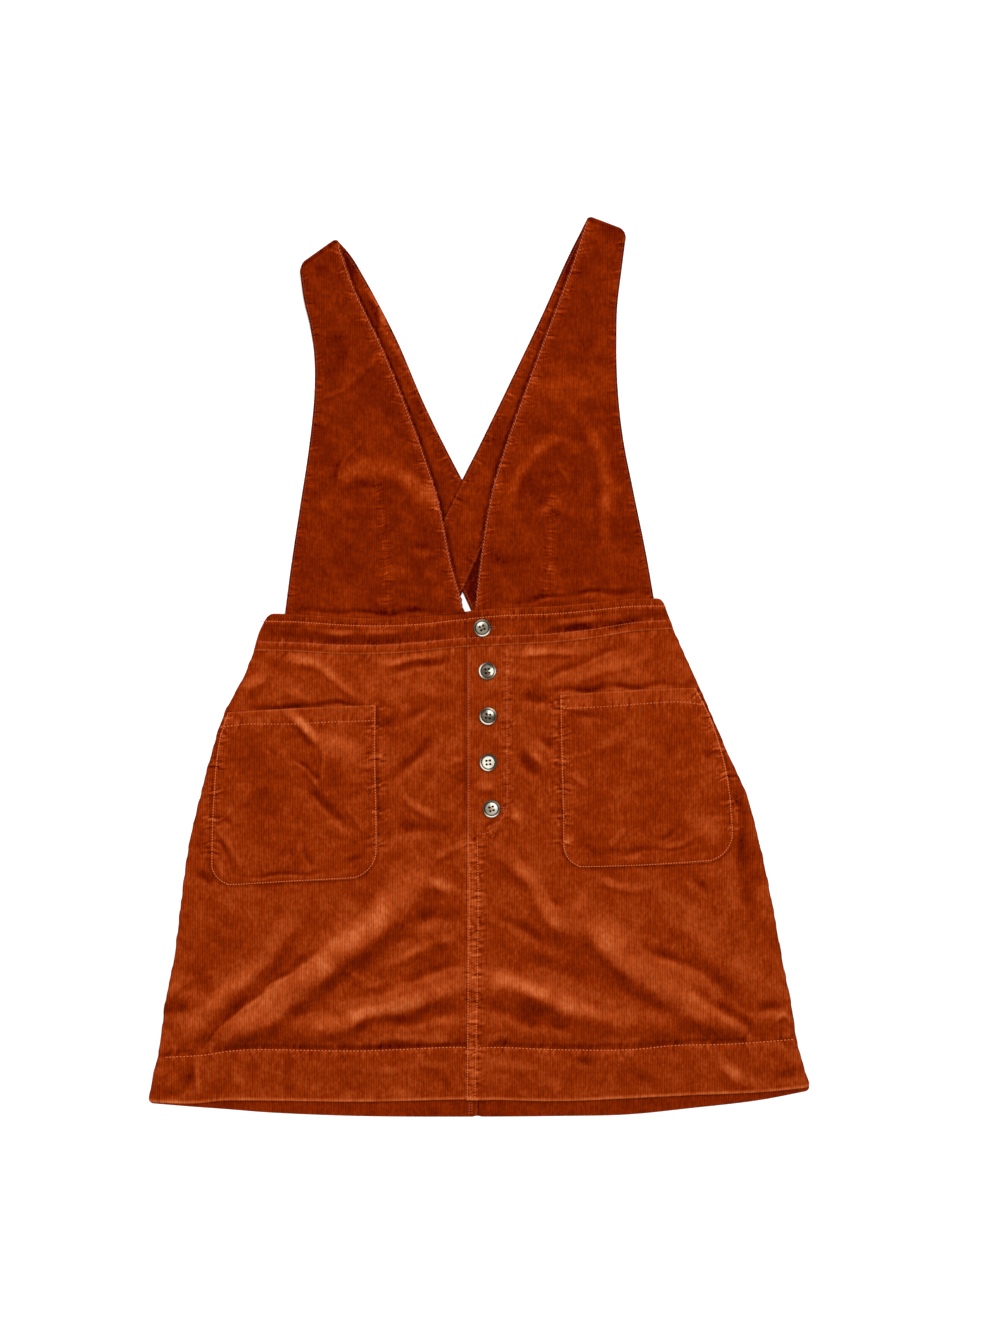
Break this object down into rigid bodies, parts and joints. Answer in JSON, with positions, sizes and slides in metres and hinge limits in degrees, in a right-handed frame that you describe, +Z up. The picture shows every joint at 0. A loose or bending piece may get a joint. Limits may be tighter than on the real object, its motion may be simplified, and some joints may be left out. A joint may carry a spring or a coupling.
{
  "type": "pinafore dress",
  "caption": "Short corduroy pinafore dress laid flat, front up: deep V bib tapering into crossed back straps, waistband, button placket, A-line skirt with patch pockets.",
  "frame": {"origin": "on the surface that the garment lies on, in the middle of its outline", "axes": "+X to the viewer's right across the garment, +Y from the hem to the shoulders, +Z up from the surface, out of the front"},
  "size_m": [0.5971, 0.8128, 0.0118],
  "materials": {
    "corduroy": "fine-wale cotton corduroy, velvety",
    "horn_button": "polished horn look"
  },
  "bodies": {
    "root": {"skirt_front_left": "corduroy", "skirt_front_right": "corduroy", "skirt_back_left": "corduroy", "skirt_back_right": "corduroy", "waistband_front_left": "corduroy", "waistband_front_right": "corduroy", "waistband_back": "corduroy", "bib_left": "corduroy", "bib_right": "corduroy", "strap_back_left": "corduroy", "strap_back_right": "corduroy", "pocket_left": "corduroy", "pocket_right": "corduroy", "button_1": "horn_button", "button_2": "horn_button", "button_3": "horn_button", "button_4": "horn_button", "button_5": "horn_button"}
  },
  "joints": []
}
